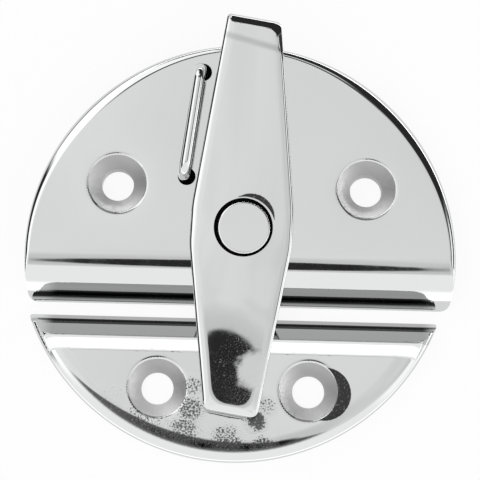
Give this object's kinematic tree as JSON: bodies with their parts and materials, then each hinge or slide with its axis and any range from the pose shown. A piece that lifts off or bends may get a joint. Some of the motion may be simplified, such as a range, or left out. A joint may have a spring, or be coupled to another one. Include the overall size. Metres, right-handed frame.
{
  "type": "twist latch",
  "caption": "Round two-part twist latch: a turning arm riveted to a base plate bears on the ridge of a separate keeper plate, and a wire staple stops its turn.",
  "frame": {"origin": "midway between the two screw holes of the base plate, on the mounting surface", "axes": "+Z out of the mounting surface towards the user, +Y from the split line towards the grip end of the arm, +X to the right as seen from the front"},
  "size_m": [0.0656, 0.0675, 0.0108],
  "materials": {
    "polished_plate": "mirror-polished cast stainless steel, a little uneven, satin countersinks",
    "polished_keeper": "mirror-polished cast stainless steel with faint orange peel, satin countersinks",
    "polished_arm": "mirror-polished cast stainless steel, a few small pits",
    "rivet_steel": "polished flush rivet head, plain turned shank",
    "washer_steel": "plain pressed stainless steel",
    "spring_steel": "bright rolled spring strip",
    "wire_steel": "bright drawn stainless wire"
  },
  "bodies": {
    "root": {"base_plate": "polished_plate", "keeper_plate": "polished_keeper", "pivot_rivet": "rivet_steel", "back_washer": "washer_steel", "wave_washer": "spring_steel", "stop_staple": "wire_steel"},
    "arm": {"turn_arm": "polished_arm"}
  },
  "joints": [
    {"name": "arm_turn", "type": "hinge", "parent": "root", "child": "arm", "pos_m": [0.00045, -0.007, 0], "axis": [0, 0, 1], "range_deg": [-89.5, 4]}
  ]
}
